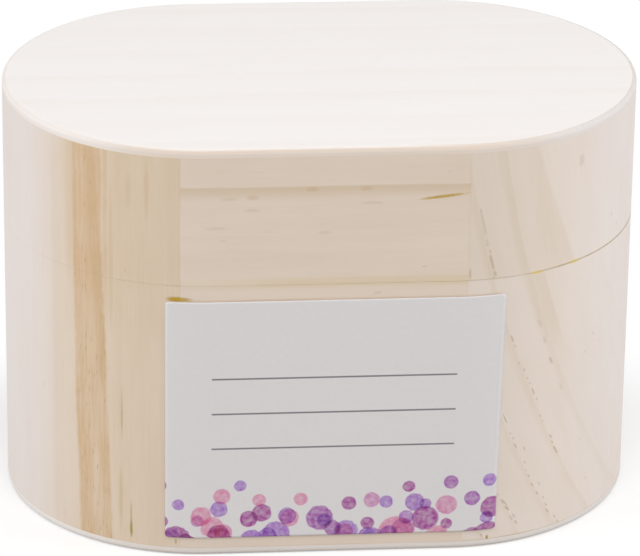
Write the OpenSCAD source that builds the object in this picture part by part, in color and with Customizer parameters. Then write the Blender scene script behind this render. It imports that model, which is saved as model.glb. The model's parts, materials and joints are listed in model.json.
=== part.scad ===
// Small wooden box with straight front and back, round ends and a hinged lid.
// It is glued up closed from two boards, two end blocks and two thin panels.
// Then it is sawn into a lid and a base, and hinged.
// The origin is the middle of the underside, +Z is up and the front faces -Y.

/* [Box] */
// Overall length, end to end
box_l = 100; // [94:1:160]
// Overall depth, front wall to back wall
box_d = 62; // [50:1:68]
// Overall height with the lid closed
box_h = 69; // [50:1:120]
// Height of the lid, with its top panel
lid_h = 22.5; // [14:0.5:32]
// Width of the saw cut between lid and base
saw_gap = 0.2; // [0.1:0.05:0.5]

/* [Walls] */
// Thickness of the boards and of the end blocks
wall = 6; // [5.5:0.5:9]
// Thickness of the top and bottom panels
panel_t = 1.3; // [1:0.1:4]
// How far the boards run past their straight stretch, on average, to their glue joints
board_over = 3.2; // [2:0.1:6]
// Sideways shift of both boards, towards +X
board_shift = -1.5; // [-2:0.5:2]
// Sanded round on the outer edge of each panel
edge_r = 0.5; // [0.2:0.1:0.8]

/* [Hinges] */
// Length of each hinge
hinge_l = 12; // [8:0.5:13]
// Distance from each hinge to the end of the straight back
hinge_inset = 2; // [0.5:0.5:3]
// Reach of each leaf from the pin's axis
leaf_w = 5; // [4.4:0.1:5.6]
// Thickness of the leaf sheet
leaf_t = 0.6; // [0.4:0.05:0.8]
// Diameter of the hinge pin
pin_d = 1.2; // [0.8:0.1:1.6]
// Distance of the pin's axis behind the back wall
pin_out = 0.5; // [0.3:0.1:0.9]
// Gap between neighbouring knuckles
knuckle_gap = 0.1; // [0.05:0.05:0.3]

/* [Nails] */
// Diameter of a nail's shank
nail_d = 0.8; // [0.6:0.1:1]
// Length of a nail under its head
nail_l = 5; // [3:0.5:8]
// Diameter of a nail's head
nail_head_d = 1.7; // [1.4:0.1:2.2]
// Height of a nail's domed head
nail_head_h = 0.35; // [0.2:0.05:0.45]
// Diameter of a nail's blunt point
nail_point_d = 0.2; // [0.1:0.05:0.4]
// Distance from each nail to the end of its leaf
nail_inset = 2.4; // [1.5:0.1:3]

/* [Label] */
// Width of the paper label, measured along the wall
label_w = 52.5; // [20:0.5:60]
// Bare height under the label, down to the table
label_foot = 3.2; // [2:0.1:10]
// Bare height over the label, up to the base's rim
label_head = 2.6; // [1:0.1:10]
// Sideways shift of the label from the middle of the front
label_shift = 0.2; // [-4:0.1:4]
// Thickness of the paper
label_t = 0.2; // [0.1:0.05:0.4]
// Radius of the label's corners
label_r = 1; // [0.5:0.1:3]

/* [Clearances] */
// Radial play of the pin in a knuckle
pin_play = 0.03; // [0.02:0.01:0.08]
// Radial play of a nail in its hole
nail_play = 0.05; // [0.02:0.01:0.1]
// Room round a hinge in its pocket
pocket_play = 0.1; // [0.05:0.05:0.3]
// Room between a leaf and the other leaf's knuckle
leaf_play = 0.15; // [0.1:0.05:0.4]
// Thickness of the label's glue
glue_t = 0.05; // [0.02:0.01:0.1]

/* [Hidden] */
$fn = 96;
// Cuts run this far past the face that they open
cut_over = 1;
// The outline is two half circles joined by straight sides
end_r = box_d / 2;
inner_r = end_r - wall;
half_straight = box_l / 2 - end_r;
board_l = 2 * (half_straight + board_over);
// Heights of the saw cut and of the walls
seam_z = box_h - lid_h;
base_rim_z = seam_z - saw_gap / 2;
base_wall_z = panel_t;
base_wall_h = base_rim_z - base_wall_z;
lid_wall_z = seam_z + saw_gap / 2;
lid_wall_h = box_h - panel_t - lid_wall_z;
// The hinges: three knuckles each, the lid leaf's in the middle
knuckle_count = 3;
LID_KNUCKLES = [1];
BASE_KNUCKLES = [0, 2];
bore_r = pin_d / 2 + pin_play;
knuckle_r = bore_r + leaf_t;
knuckle_l = (hinge_l - (knuckle_count - 1) * knuckle_gap) / knuckle_count;
hinge_x = half_straight - hinge_inset - hinge_l / 2;
axis_y = end_r + pin_out;
plate_back = knuckle_r + leaf_play;
// The nails stand in the middle of each leaf's plate
nail_x = hinge_l / 2 - nail_inset;
nail_y = -(leaf_w + plate_back) / 2;
nail_tip_h = nail_d;
nail_hole_r = nail_d / 2 + nail_play;
// The label's height, and its upright edges as distances along the wall from its middle
label_h = base_rim_z - label_head - label_foot;
label_left = label_shift - label_w / 2;
label_right = label_shift + label_w / 2;
LEFT = -1;
RIGHT = 1;
FRONT = -1;
BACK = 1;
UP = 1;
DOWN = -1;
END_COLOR = [0.87, 0.78, 0.68];
BOARD_COLOR = [0.84, 0.75, 0.65];
PANEL_COLOR = [0.93, 0.90, 0.86];
BRASS_COLOR = [0.78, 0.62, 0.32];
LABEL_COLOR = [0.90, 0.89, 0.90];

// X of a point on the outer wall, from its distance along the wall to the middle of the front
function wall_x(s) =
    abs(s) <= half_straight ? s
    : sign(s) * (half_straight + end_r * sin((abs(s) - half_straight) / end_r * 180 / PI));

// Outline with round ends of radius r
module stadium(r) {
    for (side = [LEFT, RIGHT])
        translate([side * half_straight, 0]) circle(r);
    square([2 * half_straight, 2 * r], center = true);
}

// Plan of the whole wall
module wall_plan() {
    difference() {
        stadium(end_r);
        stadium(inner_r);
    }
}

// Half section of a panel, with its sanded round above
module panel_section() {
    square([end_r, panel_t - edge_r]);
    square([end_r - edge_r, panel_t]);
    translate([end_r - edge_r, panel_t - edge_r]) intersection() {
        circle(edge_r);
        square(edge_r);
    }
}

// Panel on z = 0 with its sanded edge above
module panel() {
    for (side = [LEFT, RIGHT])
        translate([side * half_straight, 0, 0]) rotate_extrude() panel_section();
    rotate([90, 0, 90]) linear_extrude(2 * half_straight, center = true) {
        panel_section();
        mirror([1, 0]) panel_section();
    }
}

// Front or back board, between its two glue joints
module board(side, z, h) {
    translate([0, 0, z]) linear_extrude(h) intersection() {
        wall_plan();
        translate([board_shift, side * end_r / 2]) square([board_l, end_r], center = true);
    }
}

// Round end block, from glue joint to glue joint
module end_block(side, z, h) {
    joint_x = board_shift + side * board_l / 2;
    translate([0, 0, z]) linear_extrude(h) intersection() {
        wall_plan();
        translate([joint_x + side * end_r / 2, 0]) square([end_r, box_d], center = true);
    }
}

// Places its children on the axis of one hinge
module at_hinge(side) {
    translate([side * hinge_x, axis_y, seam_z]) children();
}

// Places its children at the two nails of one leaf, turned to point into the wood
module at_nails(way) {
    for (side = [LEFT, RIGHT])
        translate([side * nail_x, nail_y, way * (knuckle_r - leaf_t)])
            rotate([way == UP ? 0 : 180, 0, 0]) children();
}

// Pocket in a rim for one leaf, open at the back and at the rim, with its nail holes
module hinge_pocket(way) {
    reach = leaf_w + pocket_play;
    depth = knuckle_r + cut_over;
    translate([
        -hinge_l / 2 - pocket_play,
        -reach,
        way == UP ? -cut_over : -knuckle_r
    ])
        cube([hinge_l + 2 * pocket_play, reach + cut_over, depth]);
    at_nails(way) cylinder(r = nail_hole_r, h = nail_l + nail_play);
}

// Back board with the pockets of both hinges cut into its rim
module back_board(way, z, h) {
    difference() {
        board(BACK, z, h);
        for (side = [LEFT, RIGHT]) at_hinge(side) hinge_pocket(way);
    }
}

// Leaf sheet of one hinge: a plate, and a tab rolled into each of its own knuckles
module hinge_leaf(way, own) {
    difference() {
        union() {
            translate([-hinge_l / 2, -leaf_w, leaf_level(way)]) cube([hinge_l, leaf_w - plate_back, leaf_t]);
            for (i = own) translate([knuckle_start(i), 0, 0]) {
                translate([0, -plate_back, leaf_level(way)]) cube([knuckle_l, plate_back, leaf_t]);
                rotate([0, 90, 0]) cylinder(r = knuckle_r, h = knuckle_l);
            }
        }
        rotate([0, 90, 0]) cylinder(r = bore_r, h = hinge_l + 2 * cut_over, center = true);
        at_nails(way) translate([0, 0, -cut_over])
            cylinder(r = nail_hole_r, h = leaf_t + 2 * cut_over);
    }
}

// Lower face of a leaf's sheet, and where a knuckle starts along the pin
function leaf_level(way) = way == UP ? knuckle_r - leaf_t : -knuckle_r;
function knuckle_start(i) = -hinge_l / 2 + i * (knuckle_l + knuckle_gap);

// Nail with its head's flat on z = 0, its dome below and its point above
module nail() {
    head_r = nail_head_d / 2;
    dome_r = (head_r * head_r + nail_head_h * nail_head_h) / (2 * nail_head_h);
    intersection() {
        translate([0, 0, dome_r - nail_head_h]) sphere(dome_r);
        translate([0, 0, -nail_head_h]) cylinder(r = head_r, h = nail_head_h);
    }
    cylinder(d = nail_d, h = nail_l - nail_tip_h);
    translate([0, 0, nail_l - nail_tip_h]) cylinder(d1 = nail_d, d2 = nail_point_d, h = nail_tip_h);
}

// Rectangle with round corners, from its low corner to its high one
module round_rect(low, high, r) {
    size = high - low;
    translate(low + [r, 0]) square(size - [2 * r, 0]);
    translate(low + [0, r]) square(size - [0, 2 * r]);
    for (x = [low.x + r, high.x - r], y = [low.y + r, high.y - r])
        translate([x, y]) circle(r);
}

module lid_top_panel() {
    color(PANEL_COLOR) translate([0, 0, box_h - panel_t]) panel();
}

module lid_front_board() {
    color(BOARD_COLOR) board(FRONT, lid_wall_z, lid_wall_h);
}

module lid_back_board() {
    color(BOARD_COLOR) back_board(UP, lid_wall_z, lid_wall_h);
}

module lid_end(side) {
    color(END_COLOR) end_block(side, lid_wall_z, lid_wall_h);
}

module base_front_board() {
    color(BOARD_COLOR) board(FRONT, base_wall_z, base_wall_h);
}

module base_back_board() {
    color(BOARD_COLOR) back_board(DOWN, base_wall_z, base_wall_h);
}

module base_end(side) {
    color(END_COLOR) end_block(side, base_wall_z, base_wall_h);
}

module base_bottom_panel() {
    color(PANEL_COLOR) translate([0, 0, panel_t]) mirror([0, 0, 1]) panel();
}

module lid_leaf(side) {
    color(BRASS_COLOR) at_hinge(side) hinge_leaf(UP, LID_KNUCKLES);
}

module base_leaf(side) {
    color(BRASS_COLOR) at_hinge(side) hinge_leaf(DOWN, BASE_KNUCKLES);
}

module hinge_pin(side) {
    color(BRASS_COLOR) at_hinge(side)
        rotate([0, 90, 0]) cylinder(d = pin_d, h = hinge_l, center = true);
}

module lid_nails(side) {
    color(BRASS_COLOR) at_hinge(side) at_nails(UP) nail();
}

module base_nails(side) {
    color(BRASS_COLOR) at_hinge(side) at_nails(DOWN) nail();
}

// Paper label glued to the base's front, bent round the start of each end block
module front_label() {
    inside = end_r + glue_t;
    low_corner = [wall_x(label_left), label_foot];
    high_corner = [wall_x(label_right), label_foot + label_h];
    color(LABEL_COLOR) intersection() {
        translate([0, 0, label_foot]) linear_extrude(label_h) difference() {
            stadium(inside + label_t);
            stadium(inside);
        }
        rotate([90, 0, 0]) linear_extrude(box_d) round_rect(low_corner, high_corner, label_r);
    }
}

lid_top_panel();
lid_front_board();
lid_back_board();
lid_end(LEFT);  // lid_left_end
lid_end(RIGHT);  // lid_right_end
base_front_board();
base_back_board();
base_end(LEFT);  // base_left_end
base_end(RIGHT);  // base_right_end
base_bottom_panel();
lid_leaf(LEFT);  // left_hinge_lid_leaf
base_leaf(LEFT);  // left_hinge_base_leaf
hinge_pin(LEFT);  // left_hinge_pin
lid_nails(LEFT);  // left_hinge_lid_nails
base_nails(LEFT);  // left_hinge_base_nails
lid_leaf(RIGHT);  // right_hinge_lid_leaf
base_leaf(RIGHT);  // right_hinge_base_leaf
hinge_pin(RIGHT);  // right_hinge_pin
lid_nails(RIGHT);  // right_hinge_lid_nails
base_nails(RIGHT);  // right_hinge_base_nails
front_label();
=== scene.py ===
import json
import math
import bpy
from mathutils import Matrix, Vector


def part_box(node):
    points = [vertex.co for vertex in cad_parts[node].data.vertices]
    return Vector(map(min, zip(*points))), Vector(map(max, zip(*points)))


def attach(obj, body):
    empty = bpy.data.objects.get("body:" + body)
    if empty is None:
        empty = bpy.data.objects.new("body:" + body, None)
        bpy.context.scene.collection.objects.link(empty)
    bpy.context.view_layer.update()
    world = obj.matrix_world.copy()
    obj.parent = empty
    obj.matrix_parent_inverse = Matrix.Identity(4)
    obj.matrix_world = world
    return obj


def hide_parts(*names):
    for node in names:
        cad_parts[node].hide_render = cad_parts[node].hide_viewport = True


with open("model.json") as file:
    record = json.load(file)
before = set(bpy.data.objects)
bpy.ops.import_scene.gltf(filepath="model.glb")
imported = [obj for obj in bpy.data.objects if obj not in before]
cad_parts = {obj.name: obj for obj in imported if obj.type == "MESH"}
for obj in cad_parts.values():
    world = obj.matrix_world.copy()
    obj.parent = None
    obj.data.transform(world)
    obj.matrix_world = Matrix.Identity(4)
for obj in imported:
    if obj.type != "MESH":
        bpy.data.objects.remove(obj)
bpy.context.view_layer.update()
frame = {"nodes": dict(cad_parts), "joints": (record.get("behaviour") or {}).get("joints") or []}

from types import SimpleNamespace

import bpy
from mathutils import Matrix, Vector

bl_info = {
    "name": "Round-ended wooden box",
    "version": (1, 0, 0),
    "blender": (4, 5, 0),
    "location": "View3D > Sidebar > Box",
    "description": "Dresses a small hinged wooden box: timber, brass hinges, paper label and a white stage",
    "category": "Object",
}

MM = 0.001

# Distances under which points are level with each other, or one point
NEAR = 0.01 * MM
TOUCH = 0.001 * MM

# Sizes of the box, read from the frame
PANEL_LOW, PANEL_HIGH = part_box("lid_top_panel")
PANEL_T = PANEL_HIGH.z - PANEL_LOW.z
BOX_H = PANEL_HIGH.z
END_R = PANEL_HIGH.y
STRAIGHT = PANEL_HIGH.x - END_R
FRONT_LOW, FRONT_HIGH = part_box("base_front_board")
JOINT_LEFT = FRONT_LOW.x
JOINT_RIGHT = FRONT_HIGH.x
BASE_RIM = FRONT_HIGH.z
LID_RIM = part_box("lid_front_board")[0].z
SEAM = (BASE_RIM + LID_RIM) / 2
LABEL_LOW, LABEL_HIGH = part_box("front_label")
HINGE_AXIS = Vector(frame["joints"][0]["pos_m"])
SIDES = {"left": -1, "right": 1}
BODIES = ("lid", "base")

# How finely the meshes are divided
BLOCK_STEPS = 161
BOARD_STEPS = 81
PANEL_STEPS = 320
KNUCKLE_STEPS = 60
LABEL_COLUMNS = 90
LABEL_ROWS = 164
ARRIS_STEPS = 4
CORNER_STEPS = 5
BEVEL_STEPS = 5
ROD_STEPS = 32
DOME_STEPS = 5
HOLE_STEPS = 20
CRISP_ANGLE = math.radians(35)

# Powers, shares and small sizes of the walls, the hinges and the label
SEAM_OPENING = 3.0
RIM_REACH = 8.0
POCKET_MARGIN = 1.0 * MM
KNUCKLES = 3
KNUCKLE_GAP = 0.1 * MM
PIN_PLAY = 0.03 * MM
LEAF_PLAY = 0.15 * MM
NAILS = 2
NAIL_EDGE = 0.1 * MM
NAIL_DOME = 0.24 * MM
NAIL_HOLE_R = 0.45 * MM
SHANK_R = 0.4 * MM
GLUE_SHARE = 0.2


def inner_radius():
    """Radius of the walls' inner face, from the board's points where its round stretch starts."""
    points = [v.co for v in frame["nodes"]["base_front_board"].data.vertices]
    return min(abs(p.y) for p in points if abs(abs(p.x) - STRAIGHT) < NEAR)


INNER_R = inner_radius()

# Node trees written as plain formulas
NUMBER = "NodeSocketFloat"
COUNT = "NodeSocketInt"
VECTOR = "NodeSocketVector"
COLOUR = "NodeSocketColor"
SHAPE = "NodeSocketGeometry"
MATERIAL = "NodeSocketMaterial"


def title(word):
    """Label of the socket that a lower case word stands for."""
    return word.replace("_", " ").title()


class Field:
    """A number, vector or colour that runs through a node tree."""

    def __init__(self, graph, socket):
        self.graph = graph
        self.socket = socket

    def math(self, operation, *others):
        """Result of a math node on this number and the others."""
        return self.graph.run("ShaderNodeMath", dict(enumerate((self, *others))), operation=operation)

    def ramp(self, low, high):
        """Smooth rise from 0 at low to 1 at high."""
        values = dict(enumerate((self, low, high, 0.0, 1.0)))
        return self.graph.run("ShaderNodeMapRange", values, "Result", interpolation_type="SMOOTHSTEP")

    def band(self, low, high, fall_low, fall_high):
        """Smooth rise from low to high, and a fall back to 0 further on."""
        return self.ramp(low, high) * (1.0 - self.ramp(fall_low, fall_high))

    def __add__(self, other):
        return self.math("ADD", other)

    def __sub__(self, other):
        return self.math("SUBTRACT", other)

    def __rsub__(self, other):
        return (self * -1.0) + other

    def __mul__(self, other):
        return self.math("MULTIPLY", other)

    def __truediv__(self, other):
        return self.math("DIVIDE", other)

    def __lt__(self, other):
        return self.math("LESS_THAN", other)

    def __gt__(self, other):
        return self.math("GREATER_THAN", other)

    def __neg__(self):
        return self * -1.0

    def __abs__(self):
        return self.math("ABSOLUTE")

    __radd__ = __add__
    __rmul__ = __mul__


class Graph:
    """One node tree, with its group inputs by lower case word."""

    def __init__(self, tree):
        self.tree = tree

    @classmethod
    def group(cls, name, kind, inputs, outputs):
        """A new node group, with a list of words for each socket type."""
        graph = cls(bpy.data.node_groups.new(name, kind))
        for way, kinds in (("INPUT", inputs), ("OUTPUT", outputs)):
            for socket_type, words in kinds.items():
                for word in words.split():
                    graph.tree.interface.new_socket(title(word), in_out=way, socket_type=socket_type)
        start = graph.add("NodeGroupInput")
        words = " ".join(inputs.values()).split()
        graph.given = SimpleNamespace(**{word: Field(graph, start.outputs[title(word)]) for word in words})
        graph.end = graph.add("NodeGroupOutput")
        return graph

    @classmethod
    def geometry(cls, name, numbers, counts=""):
        """A new geometry tree that takes sizes, counts and a material."""
        inputs = {NUMBER: numbers, COUNT: counts, MATERIAL: "material"}
        return cls.group(name, "GeometryNodeTree", inputs, {SHAPE: "geometry"})

    def add(self, kind, **settings):
        node = self.tree.nodes.new(kind)
        for key, value in settings.items():
            setattr(node, key, value)
        return node

    def feed(self, slot, item):
        if isinstance(item, Field):
            self.tree.links.new(item.socket, slot)
        else:
            slot.default_value = item

    def fill(self, node, inputs):
        """Feeds a node's inputs by name or number."""
        for key, item in inputs.items():
            self.feed(node.inputs[key], item)
        return node

    def outputs(self, kind, inputs, *labels, **settings):
        """Some outputs of a new node, by name or number."""
        node = self.fill(self.add(kind, **settings), inputs)
        return [Field(self, node.outputs[label]) for label in labels]

    def run(self, kind, inputs, output=0, **settings):
        """One output of a new node."""
        return self.outputs(kind, inputs, output, **settings)[0]

    def give(self, **outputs):
        self.fill(self.end, {title(word): item for word, item in outputs.items()})

    def split(self, vector):
        return self.outputs("ShaderNodeSeparateXYZ", {0: vector}, 0, 1, 2)

    def vector(self, x, y, z):
        return self.run("ShaderNodeCombineXYZ", {"X": x, "Y": y, "Z": z})

    def noise(self, vector, detail=2.0, scale=1.0):
        """Noise about nought, from -0.5 to 0.5."""
        values = {"Vector": vector, "Scale": scale, "Detail": detail}
        return self.run("ShaderNodeTexNoise", values, "Fac") - 0.5

    def cells(self, vector, dimensions, scale, randomness, *labels):
        """Outputs of scattered cells, each with its own luck."""
        values = {"Vector": vector, "Scale": scale, "Randomness": randomness}
        kinds = {"voronoi_dimensions": dimensions, "feature": "F1"}
        return self.outputs("ShaderNodeTexVoronoi", values, *labels, **kinds)

    def mix(self, factor, first, second, blend="MIX"):
        node = self.add("ShaderNodeMix", data_type="RGBA", blend_type=blend, clamp_factor=True)
        colours = [socket for socket in node.inputs if socket.type == "RGBA"]
        self.feed(node.inputs["Factor"], factor)
        self.feed(colours[0], first)
        self.feed(colours[1], second)
        return Field(self, next(socket for socket in node.outputs if socket.type == "RGBA"))

    def place(self):
        """The three coordinates of a mesh's or a curve's points."""
        return self.split(self.run("GeometryNodeInputPosition", {}))

    def put(self, shape, x, y, z):
        """Sets each point of a shape by a formula."""
        return self.run("GeometryNodeSetPosition", {"Geometry": shape, "Position": self.vector(x, y, z)})

    def shift(self, shape, x, y, z):
        """Moves a shape as a whole."""
        return self.run("GeometryNodeTransform", {"Geometry": shape, "Translation": self.vector(x, y, z)})

    def store(self, shape, name, value, data_type, domain):
        """Keeps a value on a shape under a name."""
        values = {"Geometry": shape, "Name": name, "Value": value}
        return self.run("GeometryNodeStoreNamedAttribute", values, data_type=data_type, domain=domain)

    def several(self, node, label, parts):
        """Feeds several shapes to one input, and gives the node's result."""
        for part in parts:
            self.feed(node.inputs[label], part)
        return Field(self, node.outputs[0])

    def join(self, first, second):
        """Two solids made one."""
        node = self.add("GeometryNodeMeshBoolean", operation="UNION", solver="EXACT")
        return self.several(node, "Mesh 2", (first, second))

    def cut(self, shape, cutter, x, y, z):
        """Cuts the same hole at x and at -x."""
        for side in SIDES.values():
            values = {"Mesh 1": shape, "Mesh 2": self.shift(cutter, x * float(side), y, z)}
            shape = self.run("GeometryNodeMeshBoolean", values, operation="DIFFERENCE", solver="EXACT")
        return shape

    def rectangle(self, corners, radius=None, level=None, steps=ARRIS_STEPS):
        """Outline of four corners, rounded on one level of Y if a radius is given."""
        points = {f"Point {i + 1}": self.vector(x, y, 0.0) for i, (x, y) in enumerate(corners)}
        outline = self.run("GeometryNodeCurvePrimitiveQuadrilateral", points, mode="POINTS")
        if radius is None:
            return outline
        near = abs(self.place()[1] - level) < NEAR
        values = {"Curve": outline, "Count": steps, "Radius": near * radius}
        return self.run("GeometryNodeFilletCurve", values, mode="POLY")

    def bar(self, section, start, end, steps):
        """Bar along Z with a section in X and Y."""
        ends = {"Start": self.vector(0.0, 0.0, start), "End": self.vector(0.0, 0.0, end)}
        line = self.run("GeometryNodeCurvePrimitiveLine", ends)
        path = self.run("GeometryNodeResampleCurve", {"Curve": line, "Count": steps})
        values = {"Curve": path, "Profile Curve": section, "Fill Caps": True}
        return self.run("GeometryNodeCurveToMesh", values)

    def slab(self, outline, low, thick):
        """Flat sheet with this outline, from one level of Z upwards."""
        filled = self.run("GeometryNodeFillCurve", {"Curve": outline}, mode="NGONS")
        sheet = self.shift(filled, 0.0, 0.0, low)
        values = {"Mesh": sheet, "Offset": self.vector(0.0, 0.0, thick), "Individual": False}
        lifted = self.run("GeometryNodeExtrudeMesh", values)
        under = self.run("GeometryNodeFlipFaces", {"Mesh": sheet})
        whole = self.several(self.add("GeometryNodeJoinGeometry"), 0, (under, lifted))
        return self.run("GeometryNodeMergeByDistance", {"Geometry": whole, "Distance": TOUCH})

    def close(self, shape):
        """Shades smooth with crisp edges, makes instances real, sets the material and ends the tree."""
        smooth = self.run("GeometryNodeSetShadeSmooth", {"Geometry": shape, "Shade Smooth": True})
        crisp = self.run("GeometryNodeInputMeshEdgeAngle", {}, "Unsigned Angle") > CRISP_ANGLE
        values = {"Geometry": smooth, "Selection": crisp, "Shade Smooth": False}
        edged = self.run("GeometryNodeSetShadeSmooth", values, domain="EDGE")
        real = self.run("GeometryNodeRealizeInstances", {"Geometry": edged})
        values = {"Geometry": real, "Material": self.given.material}
        self.give(geometry=self.run("GeometryNodeSetMaterial", values))
        return self.tree


# Geometry trees: bars that are bent by a rule, sheets and rods
WALL = "straight outer_radius inner_radius low high rim ease left_rise right_rise side"
POCKETS = "pocket_x pocket_length pocket_front pocket_floor"
ON_AXIS = "way axis_x axis_y axis_z"
LEAF = "length reach plate_back thickness corner nail_x nail_y nail_hole"
ROLL = "knuckle_radius knuckle_length roll"
NAIL = "spacing nail_y head_level head_radius head_edge head_dome shank_radius shank_length"


def wall_bar(graph, start, end):
    """A straight bar with a wall's section. It is wound so that its faces point outwards either way up."""
    given = graph.given
    inner, outer, low, high = given.inner_radius, given.outer_radius, given.low, given.high
    corners = [(inner, low), (outer, low), (outer, high), (inner, high)]
    return graph.bar(graph.rectangle(corners, given.ease, given.rim), start, end, given.steps)


def rim_sag(graph, x, level):
    """Height of a wall's point: the saw cut is nearly shut at the left and opens over the right block."""
    given = graph.given
    along = ((x / (STRAIGHT + END_R)) * 0.5 + 0.5).math("POWER", SEAM_OPENING)
    rise = given.left_rise + along * (given.right_rise - given.left_rise)
    share = 1.0 - abs(level - given.rim) / (given.high - given.low)
    return level + rise * share.math("POWER", RIM_REACH)


def end_block_tree():
    """A straight bar bent round the end: both its ends are cut on the plane of the glue joints."""
    graph = Graph.geometry("End Block", f"{WALL} joint", "steps")
    given = graph.given
    bar = wall_bar(graph, -1.0, 1.0)
    radius, level, turn = graph.place()
    reach = ((given.joint - given.straight) / radius).math("ARCCOSINE")
    angle = -(turn * reach)
    x = given.side * (given.straight + radius * angle.math("COSINE"))
    y = given.side * radius * angle.math("SINE")
    return graph.close(graph.put(bar, x, y, rim_sag(graph, x, level)))


def board_tree(name, pockets=""):
    """A straight board whose ends follow the start of the round ends, with hinge pockets if it has them."""
    graph = Graph.geometry(name, f"{WALL} start end {pockets}", "steps")
    given = graph.given
    bar = wall_bar(graph, given.start, given.end)
    radius, level, along = graph.place()
    over = (abs(along) - given.straight).math("MAXIMUM", 0.0)
    x = given.side * along
    y = given.side * (radius * radius - over * over).math("SQRT")
    board = graph.put(bar, x, y, rim_sag(graph, x, level))
    return graph.close(cut_pockets(graph, board) if pockets else board)


def cut_pockets(graph, board):
    """Cuts a pocket for each hinge, open at the rim and at the back."""
    given = graph.given
    depth = given.outer_radius - given.pocket_front + POCKET_MARGIN
    height = abs(given.pocket_floor - given.rim) + POCKET_MARGIN
    outward = (given.rim - given.pocket_floor).math("SIGN")
    size = graph.vector(given.pocket_length, depth, height)
    cutter = graph.run("GeometryNodeMeshCube", {"Size": size}, "Mesh")
    y = given.pocket_front + depth * 0.5
    z = given.pocket_floor + outward * height * 0.5
    return graph.cut(board, cutter, given.pocket_x, y, z)


def panel_tree():
    """A flat sheet with round ends. Its outer edge is marked for the sanded round."""
    graph = Graph.geometry("Panel", "straight radius low high sanded_level", "steps")
    given = graph.given
    values = {"Resolution": given.steps, "Radius": given.radius}
    ring = graph.run("GeometryNodeCurvePrimitiveCircle", values)
    x, y, _ = graph.place()
    side = (x > TOUCH) - (x < -TOUCH)
    outline = graph.put(ring, x + side * given.straight, y, 0.0)
    sheet = graph.slab(outline, given.low, given.high - given.low)
    sanded = abs(graph.place()[2] - given.sanded_level) < TOUCH
    return graph.close(graph.store(sheet, "bevel_weight_edge", sanded, "FLOAT", "EDGE"))


def rolled_leaf_tree(name, knuckles):
    """A hinge leaf: a plate with round corners and nail holes, and strips rolled into knuckles."""
    graph = Graph.geometry(name, f"{LEAF} {ROLL} {ON_AXIS} {knuckles}", "steps")
    given = graph.given
    half, thick = given.length * 0.5, given.thickness
    back, front = -given.plate_back, -given.reach
    corners = [(-half, front), (half, front), (half, back), (-half, back)]
    outline = graph.rectangle(corners, given.corner, front, CORNER_STEPS)
    leaf = graph.slab(outline, given.knuckle_radius - thick, thick)
    for word in knuckles.split():
        leaf = graph.join(leaf, knuckle_strip(graph, getattr(given, word)))
    values = {"Vertices": HOLE_STEPS, "Radius": given.nail_hole, "Depth": thick * 4.0}
    hole = graph.run("GeometryNodeMeshCylinder", values, "Mesh")
    leaf = graph.cut(leaf, hole, given.nail_x, given.nail_y, given.knuckle_radius)
    return graph.close(set_on_axis(graph, leaf))


def knuckle_strip(graph, start):
    """A strip of the sheet that runs level to the pin's axis and then rolls round it."""
    given = graph.given
    half = given.thickness * 0.5
    end = start + given.knuckle_length
    middle = given.knuckle_radius - half
    level_run = given.plate_back + half
    section = graph.rectangle([(-half, start), (half, start), (half, end), (-half, end)])
    strip = graph.bar(section, 0.0, level_run + middle * given.roll, given.steps)
    across, x, run = graph.place()
    radius = middle + across
    angle = math.pi / 2 - (run - level_run).math("MAXIMUM", 0.0) / middle
    y = (run - level_run).math("MINIMUM", 0.0) + radius * angle.math("COSINE")
    return graph.put(strip, x, y, radius * angle.math("SINE"))


def set_on_axis(graph, shape):
    """Turns a piece over if it belongs to the base, and moves it to the pin's axis."""
    given = graph.given
    x, y, z = graph.place()
    return graph.put(shape, x * given.way + given.axis_x, y + given.axis_y, z * given.way + given.axis_z)


def domed_rod(graph, radius, length, dome):
    """Rod along Z from 0 to its length, with the same dome on both ends."""
    values = {"Vertices": ROD_STEPS, "Fill Segments": DOME_STEPS, "Radius": radius, "Depth": length}
    rod = graph.run("GeometryNodeMeshCylinder", values, "Mesh")
    x, y, z = graph.place()
    out = (x * x + y * y) / (radius * radius)
    lift = (1.0 - out).math("MAXIMUM", 0.0) * dome
    return graph.put(rod, x, y, z + z.math("SIGN") * lift + length * 0.5)


def pin_tree():
    """A hinge pin along X with lightly peened ends."""
    graph = Graph.geometry("Hinge Pin", "radius length dome axis_x axis_y axis_z")
    given = graph.given
    rod = domed_rod(graph, given.radius, given.length, given.dome)
    x, y, z = graph.place()
    along = z - given.length * 0.5 + given.axis_x
    return graph.close(graph.put(rod, along, y + given.axis_y, given.axis_z - x))


def nail_tree():
    """The nails of one leaf: domed heads on its face and shanks in the wood."""
    graph = Graph.geometry("Leaf Nails", f"{NAIL} {ON_AXIS}", "count")
    given = graph.given
    head = domed_rod(graph, given.head_radius, given.head_edge, given.head_dome)
    head = graph.shift(head, 0.0, 0.0, -given.head_edge)
    shank = domed_rod(graph, given.shank_radius, given.shank_length, given.shank_radius)
    nail = graph.join(head, shank)
    values = {
        "Count": given.count,
        "Start Location": graph.vector(given.spacing * -0.5, given.nail_y, given.head_level),
        "Offset": graph.vector(given.spacing, 0.0, 0.0),
    }
    spots = graph.run("GeometryNodeMeshLine", values, mode="OFFSET")
    nails = graph.run("GeometryNodeInstanceOnPoints", {"Points": spots, "Instance": nail})
    real = graph.run("GeometryNodeRealizeInstances", {"Geometry": nails})
    return graph.close(set_on_axis(graph, real))


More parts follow.
